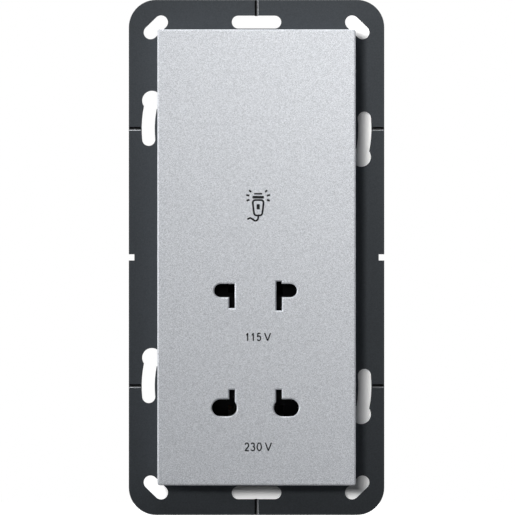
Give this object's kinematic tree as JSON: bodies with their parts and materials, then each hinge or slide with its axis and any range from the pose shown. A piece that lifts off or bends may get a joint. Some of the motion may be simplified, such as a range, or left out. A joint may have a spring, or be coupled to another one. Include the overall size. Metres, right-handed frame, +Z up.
{
  "type": "shaver socket",
  "caption": "Flush wall shaver outlet with upright cover, low and high voltage pin openings, slotted ring for a two-gang wall box, and an isolating transformer behind.",
  "frame": {"origin": "middle of the wall face of the support frame, half way between the two box centres", "axes": "+Z up, +X to the right seen from the front, +Y into the wall, so the cover faces -Y"},
  "size_m": [0.0706, 0.0525, 0.1422],
  "materials": {
    "frame_plastic": "fine matt moulded surface",
    "cover_lacquer": "aluminium-coloured metallic lacquer on moulded plastic, satin",
    "black_plastic": "matt black moulded",
    "housing_plastic": "matt black moulded, fine texture",
    "core_steel": "stacked laminations, dull",
    "bobbin_plastic": "natural moulded nylon",
    "winding_wire": "enamelled copper wire",
    "cutout_case": "moulded case",
    "terminal_plastic": "light grey moulded",
    "brass": "nickel-free turned and pressed brass",
    "bronze": "spring bronze sheet",
    "tinned_brass": "tinned",
    "zinc_steel": "zinc plated",
    "spring_steel": "drawn spring wire",
    "wire_brown": "extruded insulation",
    "wire_blue": "extruded insulation",
    "wire_green": "extruded insulation",
    "wire_black": "extruded insulation",
    "wire_white": "extruded insulation",
    "wire_red": "extruded insulation"
  },
  "bodies": {
    "casing": {"block_screw_1": "zinc_steel", "block_screw_2": "zinc_steel", "carrier_screw_1": "zinc_steel", "carrier_screw_2": "zinc_steel", "carrier_screw_3": "zinc_steel", "carrier_screw_4": "zinc_steel", "contact_115": "bronze", "contact_230": "bronze", "contact_carrier": "black_plastic", "contact_common": "bronze", "core_bolt_1": "zinc_steel", "core_bolt_2": "zinc_steel", "core_bolt_3": "zinc_steel", "core_bolt_4": "zinc_steel", "cover_plate": "cover_lacquer", "frame_screw_1": "zinc_steel", "frame_screw_2": "zinc_steel", "frame_screw_3": "zinc_steel", "frame_screw_4": "zinc_steel", "guard_plate": "black_plastic", "housing_lid": "housing_plastic", "lead_115": "wire_white", "lead_230": "wire_red", "lead_common": "wire_black", "lead_cutout": "wire_brown", "lead_earth": "wire_green", "lead_live": "wire_brown", "lead_neutral": "wire_blue", "lead_switch": "wire_blue", "lid_screw_1": "zinc_steel", "lid_screw_2": "zinc_steel", "primary_winding": "winding_wire", "rear_housing": "housing_plastic", "return_spring_lower": "spring_steel", "return_spring_upper": "spring_steel", "secondary_winding": "winding_wire", "support_frame": "frame_plastic", "switch_contact_left": "bronze", "switch_contact_right": "bronze", "terminal_block": "terminal_plastic", "terminal_clamp_earth": "brass", "terminal_clamp_live": "brass", "terminal_clamp_neutral": "brass", "terminal_screw_earth": "zinc_steel", "terminal_screw_live": "zinc_steel", "terminal_screw_neutral": "zinc_steel", "thermal_cutout": "cutout_case", "transformer_core": "core_steel", "winding_bobbin": "bobbin_plastic", "winding_tag_1": "tinned_brass", "winding_tag_2": "tinned_brass", "winding_tag_3": "tinned_brass", "winding_tag_4": "tinned_brass", "winding_tag_5": "tinned_brass"},
    "slider": {"shutter_slider": "black_plastic", "bridge_contact": "bronze"}
  },
  "joints": [
    {"name": "shutter_slide", "type": "slide", "parent": "casing", "child": "slider", "axis": [0, 0, 1], "range_m": [-0.0045, 0.0045], "stiffness_N_per_m": 600, "deforming": ["return_spring_upper", "return_spring_lower"]}
  ]
}
